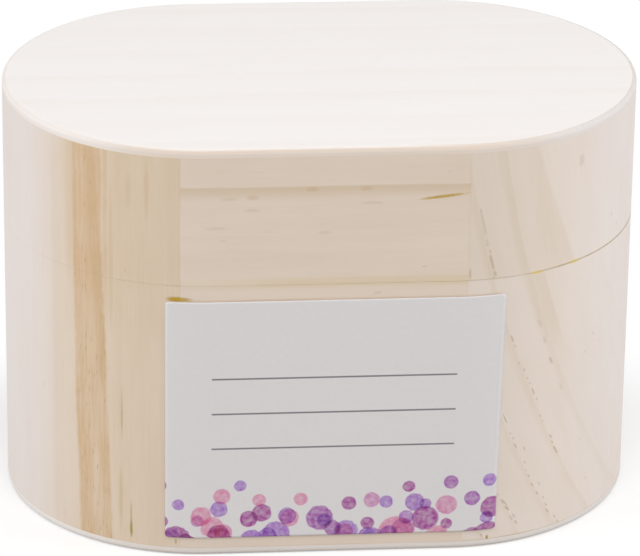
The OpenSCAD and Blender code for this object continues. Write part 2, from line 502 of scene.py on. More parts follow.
def label_tree():
    """A sheet laid on the front wall: its width is measured along the wall, and its corners are round."""
    numbers = "width height shift foot corner flare straight radius"
    graph = Graph.geometry("Wall Label", numbers, "columns rows")
    given = graph.given
    width, height, corner = given.width, given.height, given.corner
    values = {"Size X": width, "Size Y": height, "Vertices X": given.columns, "Vertices Y": given.rows}
    grid, uv_map = graph.outputs("GeometryNodeMeshGrid", values, "Mesh", "UV Map")
    mapped = graph.store(grid, "UVMap", uv_map, "FLOAT2", "CORNER")
    across, up, _ = graph.place()
    into = (abs(up) - height * 0.5 + corner).math("MAXIMUM", 0.0)
    cut = corner - (corner * corner - into * into).math("MAXIMUM", 0.0).math("SQRT")
    flare = (up / height) * (across / width + 0.5) * given.flare
    run = across * (1.0 - cut * 2.0 / width) + flare + given.shift
    turn = (abs(run) - given.straight).math("MAXIMUM", 0.0) / given.radius
    flat = abs(run).math("MINIMUM", given.straight)
    x = run.math("SIGN") * (flat + given.radius * turn.math("SINE"))
    y = -(given.radius * turn.math("COSINE"))
    return graph.close(graph.put(mapped, x, y, up + height * 0.5 + given.foot))


def grow(name, tree, material, **values):
    """Runs a geometry tree with those of the values that it takes, and keeps its result as a plain mesh."""
    piece = bpy.data.objects.new(name, bpy.data.meshes.new(name))
    bpy.context.scene.collection.objects.link(piece)
    modifier = piece.modifiers.new("shape", "NODES")
    modifier.node_group = tree
    labelled = {title(word): value for word, value in values.items()}
    labelled["Material"] = material
    for item in tree.interface.items_tree:
        if item.in_out == "INPUT":
            modifier[item.identifier] = labelled[item.name]
    evaluated = piece.evaluated_get(bpy.context.evaluated_depsgraph_get())
    mesh = bpy.data.meshes.new_from_object(evaluated)
    if not mesh.polygons:
        raise RuntimeError(f"{name} came out empty")
    piece.modifiers.clear()
    piece.data = mesh
    mesh.name = name
    return piece


def set_in_frame(piece, body, node):
    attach(piece, body)
    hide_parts(node)


def even_normals(piece):
    """Large faces keep their own direction beside an eased edge."""
    modifier = piece.modifiers.new("even normals", "WEIGHTED_NORMAL")
    modifier.keep_sharp = True


# Shader groups that several finishes share


def timber_group():
    """Growth rings about a pith, streaks, fibres and pores, in millimetres with the grain along Z."""
    rings = "ring_width first_ring late_share wander ring_depth streak_depth fibre_depth"
    pores = "pore_width pore_share row_share pore_depth"
    inputs = {VECTOR: "vector pith", NUMBER: f"{rings} {pores}", COLOUR: "pale tan pore"}
    outputs = {COLOUR: "color", NUMBER: "height roughness"}
    graph = Graph.group("Timber Grain", "ShaderNodeTree", inputs, outputs)
    given = graph.given
    x, y, z = graph.split(given.vector)

    def drawn_out(across, along, detail):
        """Noise that is drawn out along the grain."""
        return graph.noise(graph.vector(x * across, y * across, z * along), detail)

    pith_x, pith_y, _ = graph.split(given.pith)
    off_x, off_y = x - pith_x, y - pith_y
    drift = drawn_out(0.05, 0.03, 2.0)
    radius = (off_x * off_x + off_y * off_y).math("SQRT") + drift * given.wander
    phase = (radius - given.first_ring) / given.ring_width
    part = phase.math("FRACT")
    tone = graph.run("ShaderNodeTexWhiteNoise", {"W": phase.math("FLOOR")}, "Value", noise_dimensions="1D")
    ring_edge = 0.94
    late = part.ramp(1.0 - given.late_share, ring_edge) - part.ramp(ring_edge, 1.0)
    ring = late * (tone * 0.6 + 0.4)
    fibre = drawn_out(2.2, 0.09, 4.0)
    fine = drawn_out(7.0, 0.3, 2.0)
    streak = drawn_out(0.34, 0.02, 3.0)
    cloud = drawn_out(0.14, 0.06, 2.0)
    factor = 0.3 + ring * given.ring_depth + (streak + cloud * 0.8) * given.streak_depth
    factor = factor + (fibre + fine * 1.2) * given.fibre_depth
    wood = graph.mix(factor.math("MAXIMUM", 0.0), given.pale, given.tan)
    pore = scattered_pores(graph, x, y, z).math("MAXIMUM", pore_rows(graph, phase, y, z))
    graph.give(
        color=graph.mix(pore * given.pore_depth, wood, given.pore),
        height=0.5 + fibre * 0.35 + fine * 0.25 - pore * 0.6,
        roughness=0.62 + fibre * 0.16 + ring * 0.05,
    )
    return graph.tree


def scattered_pores(graph, x, y, z):
    """Short open pores along the grain, here and there."""
    given = graph.given
    width = given.pore_width
    vector = graph.vector(x / width, y / width, z * 0.22 / width)
    luck, distance = graph.cells(vector, "3D", 1.0, 1.0, "Color", "Distance")
    chance, depth, _ = graph.split(luck)
    core = 1.0 - distance.ramp(0.12, 0.38)
    return core * (chance < given.pore_share) * (depth * 0.7 + 0.3)


def pore_rows(graph, phase, y, z):
    """Long open pores in a row along each ring's edge, with other luck in the back half of the box."""
    given = graph.given
    pitch = 1.4
    half_room = 40.0
    nearest = (phase + 0.5).math("FLOOR")
    offset = (phase - nearest) * given.ring_width
    half = (y / half_room).math("FLOOR")
    drift = graph.noise(graph.vector(z * 0.31, nearest, half), 2.0)
    place = z / pitch + nearest * 0.37 + drift * 2.6
    step = place.math("FLOOR")
    values = {"Vector": graph.vector(step, nearest, half)}
    luck = graph.run("ShaderNodeTexWhiteNoise", values, "Color", noise_dimensions="3D")
    chance, length, side = graph.split(luck)
    along = (place - step - 0.5) / (0.22 + length * 0.27)
    across = (offset + (side - 0.5) * 0.7) / (0.14 + side * 0.1)
    core = 1.0 - (along * along + across * across).ramp(0.2, 0.9)
    clumps = 1.0 + graph.noise(graph.vector(z * 0.12, nearest, 0.5), 1.0) * 2.6
    return core * (chance < given.row_share * clumps) * (length * 0.5 + 0.5)


def mark_group():
    """One short streak or fleck: a long soft ellipsoid with a ragged edge, in millimetres."""
    inputs = {VECTOR: "vector middle half_size", NUMBER: "lean ragged strength"}
    graph = Graph.group("Grain Mark", "ShaderNodeTree", inputs, {NUMBER: "mask"})
    given = graph.given
    values = {0: given.vector, 1: given.middle}
    x, y, z = graph.split(graph.run("ShaderNodeVectorMath", values, operation="SUBTRACT"))
    values = {0: graph.vector(x, y, z - x * given.lean), 1: given.half_size}
    share = graph.run("ShaderNodeVectorMath", values, operation="DIVIDE")
    distance = graph.run("ShaderNodeVectorMath", {0: share}, "Value", operation="LENGTH")
    rough = graph.noise(given.vector, 3.0, 1.7)
    mask = 1.0 - (distance + rough * given.ragged).ramp(0.35, 1.0)
    graph.give(mask=mask * given.strength)
    return graph.tree


def line_group():
    """A line with a broken edge at one distance, used for saw burns, glue lines, stripes of heartwood and the
    painted shadow along the label's head.
    """
    inputs = {VECTOR: "vector", NUMBER: "distance half_width soft ragged broken strength"}
    graph = Graph.group("Broken Line", "ShaderNodeTree", inputs, {NUMBER: "mask"})
    given = graph.given
    gap = abs(given.distance) + graph.noise(given.vector, 3.0, 0.8) * given.ragged
    line = 1.0 - gap.ramp(given.half_width, given.half_width + given.soft)
    patch = graph.noise(given.vector, 2.0, 0.11) * 2.4 + 0.5
    kept = 1.0 - given.broken * (1.0 - patch.ramp(0.2, 0.8))
    graph.give(mask=line * kept * given.strength)
    return graph.tree


def shared_group(name):
    """The shader group of that name, built the first time it is asked for."""
    makers = {"Timber Grain": timber_group, "Grain Mark": mark_group, "Broken Line": line_group}
    return bpy.data.node_groups.get(name) or makers[name]()


def rgba(colour):
    return (*colour, 1.0)


def new_material(name):
    material = bpy.data.materials.new(name)
    material.use_nodes = True
    material.node_tree.nodes.clear()
    graph = Graph(material.node_tree)
    shader = graph.add("ShaderNodeBsdfPrincipled")
    output = graph.add("ShaderNodeOutputMaterial")
    graph.tree.links.new(shader.outputs[0], output.inputs["Surface"])
    return material, graph, shader


def place_in_mm(graph):
    """Object coordinates in millimetres."""
    place = graph.run("ShaderNodeTexCoord", {}, "Object")
    return graph.run("ShaderNodeVectorMath", {0: place, "Scale": 1 / MM}, operation="SCALE")


def from_middle_line(x, y):
    """Distance in millimetres from the line about which the round ends turn."""
    beyond = (abs(x) - STRAIGHT / MM).math("MAXIMUM", 0.0)
    return (beyond * beyond + y * y).math("SQRT")


def relief(graph, height, strength, depth):
    """Normal of a surface with shallow relief."""
    values = {"Height": height, "Strength": strength, "Distance": depth}
    return graph.run("ShaderNodeBump", values, "Normal")


# Values of the grain that most pieces share
GRAIN = {"late_share": 0.3, "fibre_depth": 0.3, "pore_width": 0.45, "pore_share": 0.008, "row_share": 0.0}


class Timber:
    """Bare sanded wood, built up from colour zones, grain, lines and marks."""

    def __init__(self, name, pair):
        self.material, self.graph, self.shader = new_material(name)
        self.place = place_in_mm(self.graph)
        self.x, self.y, self.z = self.graph.split(self.place)
        self.look = bpy.context.scene.round_box.timber
        self.pale = rgba(getattr(self.look, f"{pair}_pale"))
        self.tan = rgba(getattr(self.look, f"{pair}_tan"))

    def use(self, group, *labels, **values):
        """Outputs of a shared group, with its inputs given as lower case words."""
        inputs = {title(word): item for word, item in values.items()}
        return self.graph.outputs("ShaderNodeGroup", inputs, *labels, node_tree=shared_group(group))

    def lid_mask(self):
        """1 on the lid and 0 on the base."""
        return self.z.ramp(BASE_RIM / MM, LID_RIM / MM)

    def zone(self, mask, pale, tan):
        """Gives part of the piece other wood colours."""
        self.pale = self.graph.mix(mask, self.pale, rgba(pale))
        self.tan = self.graph.mix(mask, self.tan, rgba(tan))

    def grain(self, axes, pith, ring_at, **values):
        """Lays the grain: two axes across it and one along it, a pith, and the place of one ring."""
        self.colour, height, roughness = self.use(
            "Timber Grain", "Color", "Height", "Roughness", vector=self.graph.vector(*axes),
            pale=self.pale, tan=self.tan, pore=rgba(self.look.pore), pith=(*pith, 0.0),
            first_ring=abs(ring_at - pith[0]), **{**GRAIN, **values},
        )
        normal = relief(self.graph, height, strength=0.25, depth=0.05 * MM)
        self.graph.fill(self.shader, {"Roughness": roughness, "Normal": normal})

    def line_mask(self, distance, half_width, soft, ragged, broken, strength=1.0):
        """Mask of a broken line where the distance is nought."""
        return self.use(
            "Broken Line", "Mask", vector=self.place, distance=distance, half_width=half_width, soft=soft,
            ragged=ragged, broken=broken, strength=strength,
        )[0]

    def paint(self, mask, colour):
        self.colour = self.graph.mix(mask, self.colour, rgba(colour))

    def line(self, colour, *shape):
        """Paints a line with the values of its mask."""
        self.paint(self.line_mask(*shape), colour)

    def mark(self, middle, half_size, colour, strength, ragged=0.5, lean=0.0):
        mask = self.use(
            "Grain Mark", "Mask", vector=self.place, middle=middle, half_size=half_size, lean=lean,
            ragged=ragged, strength=strength,
        )[0]
        self.paint(mask, colour)

    def marks(self, *rows):
        """Paints marks in order: middle, half size, colour, strength, and how ragged and leant if need be."""
        for row in rows:
            self.mark(*row)

    def glue_and_saw_lines(self, burn, joints):
        """Glue lines at the panels and joints, and the burn that the saw left along the seam."""
        look, x, z = self.look, self.x, self.z
        outside = from_middle_line(x, self.y).ramp(END_R / MM - 0.7, END_R / MM - 0.1)
        self.line(look.burn, z - SEAM / MM, 0.06, 0.16, 0.1, 0.6, outside * burn)
        for level, strength in ((PANEL_T / MM, 0.5), ((BOX_H - PANEL_T) / MM, 0.1)):
            self.line(look.heart_and_shade, z - level, 0.02, 0.14, 0.05, 0.5, strength)
        for joint in joints:
            self.line(look.heart_and_shade, x - joint / MM, 0.03, 0.25, 0.05, 0.6, 0.1)

    def label_shadow_line(self, strength):
        """Painted shadow: a thin dark line on the wood along the head of the label, where the label's raised
        edge casts its shade.
        """
        left, right = LABEL_LOW.x / MM, LABEL_HIGH.x / MM
        inside = self.x.band(left, left + 1.0, right - 1.0, right)
        head = LABEL_HIGH.z / MM + 0.12
        mask = self.line_mask(self.z - head, 0.08, 0.16, 0.05, 0.4, inside * strength)
        self.paint(mask * (self.y < 0.0), self.look.heart_and_shade)

    def done(self, gloss=0.35, sheen_share=1.0):
        values = {
            "Base Color": self.colour,
            "Specular IOR Level": gloss,
            "Sheen Weight": self.look.sheen * sheen_share,
            "Sheen Roughness": 0.5,
        }
        self.graph.fill(self.shader, values)
        return self.material


# Finishes of this box. Places are in millimetres in the box's frame: x to the right, y to the back, z up.
FRONT = -END_R / MM
ABOVE_LABEL = LABEL_HIGH.z / MM + 0.4


def left_end_material():
    """Upright grain with pale wood outside, partly sapwood and partly painted side light, and a tan stripe
    that parts in two towards the foot.
    """
    wood = Timber("left_end_timber", "left")
    look, x, y, z = wood.look, wood.x, wood.y, wood.z
    by_joint = x.ramp(-26.0, -24.8) * wood.lid_mask()
    wood.zone(z.ramp(44.0, 50.0) * 0.2 + by_joint * 0.12, look.left_tan, look.left_tan)
    # Painted light: the outer wood is paler, partly sapwood and partly the side lamps' light painted into its
    # colour.
    wood.zone(abs(x).ramp(37.5, 47.5), look.sap_painted_light_pale, look.sap_painted_light_tan)
    wood.zone((1.0 - z.ramp(24.0, 50.0)) * 0.12, look.sap_painted_light_pale, look.right_tan)
    # Painted light: the outermost wood is whitened a little more towards the panels' colour, where the left
    # lamp lights it.
    wood.zone(abs(x).ramp(43.0, 50.0) * 0.06, look.panel_pale, look.panel_tan)
    left = z * -0.006 - z.ramp(8.0, 27.0) * 0.4 - 38.85
    right = z * -0.03 + z.ramp(53.0, 64.0) * 0.45 - 34.1
    middle = (left + right) * 0.5
    stripe = wood.line_mask(x - middle, (right - left) * 0.5 - 0.2, 0.5, 0.5, 0.3)
    low = 1.0 - z.ramp(13.0, 27.0)
    parting = wood.line_mask(x + z * 0.04 + 35.95, 0.3, 0.7, 0.5, 0.4, low * 0.55)
    beside = (x - left).band(-1.9, -0.5, 0.0, 0.6)
    wood.zone(beside * z.ramp(32.0, 54.0) * 0.6, look.left_tan, look.stripe_pale)
    wood.zone(stripe * (1.0 - parting), look.stripe_pale, look.heart_and_shade)
    wood.grain(
        (x, y, z), (200.0, -12.0), -34.0, ring_width=9.3, wander=1.0,
        ring_depth=0.2 + y.ramp(-16.0, 0.0) * 0.35, streak_depth=0.8 - stripe * 0.2,
        fibre_depth=0.4 + stripe * (0.9 - z.ramp(40.0, 48.0) * 0.5), pore_width=0.4,
        pore_share=stripe * (0.55 - z.ramp(30.0, 48.0) * 0.35) + 0.006, pore_depth=0.42,
    )
    wood.line(look.heart_and_shade, x + z * 0.05 + 34.0, 0.45, 0.6, 0.6, 0.3, z.ramp(24.0, 36.0) * 0.4)
    wood.line(look.heart_and_shade, x + 35.0, 0.12, 0.4, 0.3, 0.5, z.ramp(34.0, 50.0) * 0.35)
    wood.line(look.heart_and_shade, x - left, 0.1, 0.3, 0.3, 0.5, 0.3)
    wood.glue_and_saw_lines(x.ramp(-37.0, -26.0) * 0.3, [JOINT_LEFT])
    wood.marks(
        ((-34.15, -27.0, 50.0), (0.5, 2.5, 15.0), look.heart_and_shade, 0.25),
        ((-31.5, -28.4, 61.5), (0.5, 1.5, 4.0), look.pore, 0.1),
        ((-28.75, -29.4, 62.0), (0.55, 3.0, 6.5), look.heart_and_shade, 0.28),
        ((-32.6, -27.9, 23.4), (0.22, 1.2, 5.5), look.crack, 0.4),
        ((-32.8, -27.8, 9.0), (0.4, 1.4, 7.0), look.heart_and_shade, 0.35),
        ((-31.25, -28.45, 6.4), (0.2, 1.4, 3.2), look.crack, 0.45, 0.3),
        ((-31.22, -28.45, 3.9), (0.3, 1.4, 2.1), look.crack, 0.9, 0.4),
        ((-24.35, -30.5, 2.3), (0.25, 0.8, 0.7), look.crack, 0.6, 0.3),
        ((-24.3, -30.5, ABOVE_LABEL), (2.0, 1.2, 0.6), look.stain, 1.0, 0.2),
    )
    return wood.done()


def right_end_material():
    """Leaning grain that curves outwards at the foot, with rows of open pores along its rings."""
    wood = Timber("right_end_timber", "right")
    look, x, y, z = wood.look, wood.x, wood.y, wood.z
    leaning = x + z * 0.52 - z * z * 0.0028
    # Painted light: the outer wood is paler, partly sapwood and partly the side lamps' light painted into its
    # colour, less so at the foot.
    sapwood_and_side_light = abs(x).ramp(32.0, 47.0) * (z.ramp(2.0, 24.0) * 0.4 + 0.6)
    wood.zone(sapwood_and_side_light, look.sap_painted_light_pale, look.sap_painted_light_tan)
    lid = wood.lid_mask()
    above = z - 47.0
    lid_edge = 56.2 - above * 0.075 - above * above * 0.0025
    lid_depth = 0.62 - leaning.ramp(47.0, 49.5) * 0.2 + leaning.ramp(50.0, 55.5) * 0.4
    lid_tan = lid * (1.0 - (leaning - lid_edge).ramp(-0.4, 0.4)) * lid_depth
    base_tan = (1.0 - lid) * leaning.band(46.0, 50.6, 50.7, 51.2) * z.ramp(28.0, 42.0)
    wood.zone((lid_tan + base_tan) * 0.7, look.right_tan, look.board_tan)
    beside = y.ramp(-16.0, 0.0) * 0.4
    ring_depth = 0.95 - leaning.ramp(46.5 - lid * 2.0, 50.5 - lid * 4.0) * (0.87 + lid * 0.08 - beside)
    low_row = leaning.ramp(41.0, 42.0) * (1.0 - z.ramp(10.0, 17.0)) * 0.8
    row_share = (1.0 - leaning.ramp(44.5, 46.0)) * (1.0 - low_row) * 0.6
    wood.grain(
        (leaning, y, z), (-200.0, -20.0), 43.2, ring_width=5.95, wander=0.5, ring_depth=ring_depth,
        streak_depth=0.8, row_share=row_share, pore_depth=0.48,
    )
    in_front = 1.0 - beside * 2.5
    wood.paint(leaning.band(46.7, 48.4, 48.45, 48.8) * lid * in_front * 0.2, look.late)
    # Streaks: their place across the leaning grain, their level, half length and strength
    streaks = (
        (43.15, 55.9, 2.6, 0.2), (43.15, 52.6, 0.9, 0.14), (43.15, 49.3, 1.7, 0.4), (43.2, 47.3, 0.6, 0.35),
        (48.0, 37.6, 1.0, 0.14), (47.95, 34.4, 0.8, 0.18), (47.8, 30.6, 0.8, 0.34), (47.85, 25.5, 0.9, 0.14),
        (31.0, 7.6, 0.55, 0.4), (31.05, 6.4, 0.5, 0.4), (31.5, 4.7, 0.5, 0.28), (31.3, 3.5, 0.5, 0.28),
    )
    for ring, level, half, strength in streaks:
        length = 1.0 - abs(z - level).ramp(half * 0.4, half)
        wood.line(look.pore, leaning - ring, 0.1, 0.25, 0.15, 0.0, length * in_front * strength)
    wood.glue_and_saw_lines(x.ramp(33.0, 38.0) * 0.5 + x.ramp(44.0, 48.0) * 0.2 + 0.28, [JOINT_RIGHT])
    # Painted shadow: a thin dark line along the label's head.
    wood.label_shadow_line(0.25)
    foot = wood.line_mask(z - PANEL_T / MM, 0.06, 0.2, 0.05, 0.5, 0.4 - x.ramp(27.0, 45.0) * 0.25)
    wood.paint(foot * (y < 0.0), look.crack)
    wood.marks(
        ((24.8, -30.45, 1.6), (0.3, 1.0, 0.6), look.crack, 0.95, 0.2),
        ((20.95, -30.95, 47.6), (0.25, 0.8, 1.3), look.crack, 0.4, 0.3),
        ((38.6, -24.0, 63.2), (0.7, 1.2, 1.4), look.pore, 0.18, 0.8),
        ((31.7, -28.3, 46.4), (1.4, 1.6, 0.45), look.glue, 0.6),
        ((38.0, -24.5, 46.45), (1.4, 1.8, 0.5), look.glue, 0.45),
    )
    return wood.done()


def front_board_material():
    """Level grain with a clear late ring in the lid, a faint band over the seam and short dark streaks."""
    wood = Timber("front_board_timber", "board")
    look, x, z = wood.look, wood.x, wood.z
    wood.grain(
        (z, wood.y, x), (-160.0, -20.0), 63.2, ring_width=7.9, wander=0.8, ring_depth=0.25,
        streak_depth=0.5, fibre_depth=0.25, pore_share=0.01, pore_depth=0.3,
    )
    wavy = z + wood.graph.noise(wood.graph.vector(x * 0.08, 0.0, 0.0), 2.0) * 0.5
    wood.paint(wavy.band(60.1, 62.6, 62.65, 63.0) * 0.5, look.late)
    above_seam = abs(wavy - (SEAM / MM + 0.25))
    seam_band = (1.0 - above_seam.ramp(0.35, 1.15)) * (x.ramp(-24.0, -6.0) * 0.7 + 0.3)
    wood.paint(seam_band * 0.12, look.glue)
    wood.paint(seam_band * 0.18, look.late)
    wood.glue_and_saw_lines(0.06, [JOINT_LEFT, JOINT_RIGHT])
    wood.mark((16.6, FRONT, 60.72), (4.8, 0.8, 0.36), look.stain, 0.85, ragged=0.4, lean=0.115)
    for x_spot, z_spot in ((-3.6, 62.3), (4.75, 62.3), (-12.6, 61.1)):
        wood.mark((x_spot, FRONT, z_spot), (1.3, 0.6, 0.55), look.heart_and_shade, 0.32)
    flecks = (
        (-16.1, 60.9, 1.6), (-12.8, 59.0, 1.5), (-18.1, 56.1, 2.2),
        (-1.6, 55.1, 1.4), (5.6, 59.9, 2.2), (6.7, 44.8, 0.8),
    )
    for x_spot, z_spot, half in flecks:
        wood.mark((x_spot, FRONT, z_spot), (half * 1.1, 0.6, 0.36), look.pore, 0.16)
    # Painted shadow: a thin dark line along the label's head.
    wood.label_shadow_line(0.3)
    wood.mark((-23.7, -30.9, ABOVE_LABEL), (2.4, 1.2, 0.5), look.stain, 0.9, ragged=0.2)
    return wood.done()


def back_board_material():
    """Level grain like the front boards', cut from another place."""
    wood = Timber("back_board_timber", "board")
    wood.grain(
        (wood.z, wood.y, wood.x), (-140.0, 25.0), 58.0, ring_width=8.4, late_share=0.35, wander=3.0,
        ring_depth=0.3, streak_depth=0.7, pore_share=0.015, row_share=0.2, pore_depth=0.35,
    )
    wood.glue_and_saw_lines(0.6, [JOINT_LEFT, JOINT_RIGHT])
    wood.mark((-8.0, -FRONT, 18.0), (4.5, 0.8, 0.35), wood.look.pore, 0.35, lean=-0.03)
    return wood.done()


def panel_material(name, low, high, outer, edge_pale, edge_tan):
    """Pale sanded faces with faint level grain, and a browner edge whose colour reaches over the rounded
    arris as painted shade and turns paler and greyer towards the ends as painted side light.
    """
    wood = Timber(name, "panel")
    look, x, z = wood.look, wood.x, wood.z
    depth = abs(z - outer / MM)
    glued = abs(z - (low + high - outer) / MM)
    # Painted shade: the darker edge colour reaches up over the rounded arris to just under the face, more
    # abruptly towards the right, which tones down the arris's highlight; below the arris it is the edge
    # grain's own tone.
    crisp = x.ramp(8.0, 24.0) * 0.7
    edge_grain_and_arris_shade = depth.ramp(-0.05, 0.3) * (1.0 - crisp) + crisp
    edge = depth.ramp(0.0, 0.02) * edge_grain_and_arris_shade * glued.ramp(0.0, 0.01)
    edge = edge * (1.0 - depth.ramp(0.35, 0.65) * 0.15)
    wood.zone(edge, edge_pale, edge_tan)
    # Painted light: the edge turns paler and greyer towards each end, where the side lamps light it.
    wood.zone(edge * (-x).ramp(24.0, 44.0), look.edge_left_painted_light_pale, look.edge_left_painted_light_tan)
    wood.zone(edge * x.ramp(20.0, 40.0), look.edge_right_painted_light_pale, look.edge_right_painted_light_tan)
    wood.grain(
        (wood.y, z, x), (-150.0, 30.0), -30.0, ring_width=9.0, late_share=0.6, wander=5.0,
        ring_depth=0.35, streak_depth=0.5, pore_depth=0.2,
    )
    return wood.done(gloss=0.1, sheen_share=0.3)


def brass_material():
    """Brushed brass, dulled in patches. All pieces of the hinges share it."""
    name = "hinge_brass"
    if name in bpy.data.materials:
        return bpy.data.materials[name]
    look = bpy.context.scene.round_box.hinge
    material, graph, shader = new_material(name)
    place = place_in_mm(graph)
    x, y, z = graph.split(place)
    brushed = graph.noise(graph.vector(x * 0.5, y * 7.0, z * 7.0), 3.0)
    cloud = graph.noise(place, 3.0, 0.45)
    values = {
        "Base Color": graph.mix(0.4 + cloud * 1.8 + brushed * 0.5, rgba(look.brass), rgba(look.tarnish)),
        "Roughness": 0.36 + brushed * 0.22 + cloud * 0.25,
        "Normal": relief(graph, brushed, strength=0.2, depth=0.02 * MM),
        "Metallic": 1.0,
    }
    graph.fill(shader, values)
    return material


def label_material(width, height):
    """Coated paper with ruled lines to write on and a scatter of soft round dabs along its foot."""
    look = bpy.context.scene.round_box.label
    material, graph, shader = new_material("label_paper")
    u, v, _ = graph.split(graph.run("ShaderNodeTexCoord", {}, "UV"))
    across, up = u * width, v * height
    pulp = graph.noise(graph.vector(across, up, 0.0), 4.0, 1.3)
    colour = graph.mix(0.5 + pulp * 0.9, rgba(look.paper), rgba(look.paper_shade))
    for i in range(look.rule_count):
        gap = abs(up - (look.first_rule / MM + i * look.rule_pitch / MM))
        inside = abs(across - width / 2) < look.rule_length / MM / 2
        colour = graph.mix((1.0 - gap.ramp(0.08, 0.2)) * inside * 0.85, colour, rgba(look.rule))
    # Layers of dabs: their spacing, the height up to which they lie, and the turn and shift of their grid
    layers = ((9.0, 3.4, 0.5, 40.0), (7.4, 5.0, 1.1, 90.0), (6.0, 6.4, 0.2, 150.0), (4.6, 9.0, 0.8, 220.0))
    for spacing, top, turn, shift in layers:
        cosine, sine = math.cos(turn), math.sin(turn)
        turned = graph.vector(across * cosine - up * sine + shift, across * sine + up * cosine + shift, 0.0)
        spot, luck, distance = graph.cells(turned, "2D", 1.0 / spacing, 0.4, "Position", "Color", "Distance")
        spot_x, spot_y, _ = graph.split(spot)
        spot_up = (spot_y - shift) * cosine - (spot_x - shift) * sine
        tint, breadth, _ = graph.split(luck)
        edge = distance + pulp * 0.1
        reach = 0.22 + breadth * 0.12
        disc = (1.0 - edge.ramp(reach - 0.04, reach)) * (spot_up < top)
        wash = 0.7 + pulp * 1.1 + edge * 0.5
        first = graph.mix(tint.ramp(0.2, 0.5), rgba(look.ink_rose), rgba(look.ink_violet))
        ink = graph.mix(tint.ramp(0.6, 0.8), first, rgba(look.ink_plum))
        colour = graph.mix(disc * wash, colour, ink, "MULTIPLY")
    values = {
        "Base Color": colour,
        "Roughness": 0.42 + pulp * 0.15,
        "Normal": relief(graph, pulp, strength=0.1, depth=0.02 * MM),
    }
    graph.fill(shader, values)
    return material


# Settings that a user would change


def number_setting(name, description, default, **kinds):
    return bpy.props.FloatProperty(name=name, description=description, default=default, **kinds)


def size_setting(name, description, default):
    return number_setting(name, description, default, unit="LENGTH", precision=5)


def angle_setting(name, description, degrees):
    return number_setting(name, description, math.radians(degrees), subtype="ANGLE")


def colour_setting(name, description, default):
    return bpy.props.FloatVectorProperty(
        name=name, description=description, default=default, subtype="COLOR", size=3, min=0.0, max=1.0
    )


class TimberSettings(bpy.types.PropertyGroup):
    """Colours of the bare wood and the easing of its edges."""

    rim_ease: size_setting("Rim ease", "Sanded round on the edges of both rims", 0.03 * MM)
    panel_ease: size_setting("Panel ease", "Sanded round on the outer edge of each panel", 0.75 * MM)
    seam_left: size_setting("Seam at the left", "How far the lid's rim sinks at its left end", 0.195 * MM)
    seam_right: size_setting("Seam at the right", "How far the lid's rim sinks at its right end", 0.135 * MM)
    sheen: number_setting("Sheen", "Soft sheen of the sanded fibres", 0.15, min=0.0, max=1.0)
    left_pale: colour_setting("Left block, pale", "Palest wood by the left joint", (0.70, 0.575, 0.445))
    left_tan: colour_setting("Left block, tan", "Streaks by the left joint", (0.61, 0.47, 0.325))
    right_pale: colour_setting("Right block, pale", "Palest wood by the right joint", (0.742, 0.652, 0.587))
    right_tan: colour_setting("Right block, tan", "Streaks by the right joint", (0.687, 0.582, 0.478))
    # Pale outer wood of the ends: partly sapwood, partly the side lamps' light painted in.
    sap_painted_light_pale: colour_setting("Sapwood and painted side light, pale", "Palest sapwood outside on the ends", (0.740, 0.671, 0.636))
    sap_painted_light_tan: colour_setting("Sapwood and painted side light, tan", "Rings and streaks of the sapwood", (0.695, 0.612, 0.558))
    stripe_pale: colour_setting("Stripe, pale", "Palest wood of the tan stripe", (0.63, 0.455, 0.295))
    board_pale: colour_setting("Board, pale", "Palest wood of the boards", (0.735, 0.625, 0.53))
    board_tan: colour_setting("Board, tan", "Rings and streaks of the boards", (0.63, 0.505, 0.39))
    panel_pale: colour_setting("Panel, pale", "Palest wood of the panels' faces", (0.905, 0.87, 0.85))
    panel_tan: colour_setting("Panel, tan", "Rings and streaks of the panels' faces", (0.87, 0.82, 0.785))
    # The top edge colours also cover the rounded arris, where they stand in part for painted shade.
    edge_pale: colour_setting("Top edge, pale", "Palest wood of the top panel's edge", (0.735, 0.63, 0.54))
    edge_tan: colour_setting("Top edge, tan", "Streaks of the top panel's edge", (0.67, 0.557, 0.465))
    # The panels' edges turn paler and greyer towards the ends: the side lamps' light painted in.
    edge_left_painted_light_pale: colour_setting("Left edge, pale", "Pale wood of the panels' left", (0.81, 0.765, 0.74))
    edge_left_painted_light_tan: colour_setting("Left edge, tan", "Streaks of the panels' left", (0.78, 0.73, 0.70))
    edge_right_painted_light_pale: colour_setting("Right edge, pale", "Pale wood of the panels' right", (0.72, 0.68, 0.662))
    edge_right_painted_light_tan: colour_setting("Right edge, tan", "Streaks of the panels' right", (0.695, 0.65, 0.625))
    foot_pale: colour_setting("Foot edge, pale", "Pale wood of the bottom panel's edge", (0.71, 0.655, 0.61))
    foot_tan: colour_setting("Foot edge, tan", "Streaks of the bottom panel's edge", (0.63, 0.57, 0.51))
    late: colour_setting("Late ring", "Clear late rings of the lid", (0.557, 0.424, 0.265))
    # The heartwood colour also paints the shadow along the label's head.
    heart_and_shade: colour_setting("Heartwood and painted shade", "Late rings of the tan stripe, and glue lines", (0.52, 0.34, 0.165))
    pore: colour_setting("Pores", "Open pores", (0.31, 0.205, 0.09))
    crack: colour_setting("Cracks", "Short dark streaks and cracks", (0.36, 0.245, 0.05))
    stain: colour_setting("Stain", "Yellow stains at the label's corner and on the lid", (0.46, 0.29, 0.03))
    glue: colour_setting("Dried glue", "Yellow glue that came out of the seam", (0.74, 0.57, 0.08))
    burn: colour_setting("Saw burn", "Burnt line along the saw cut", (0.40, 0.27, 0.08))


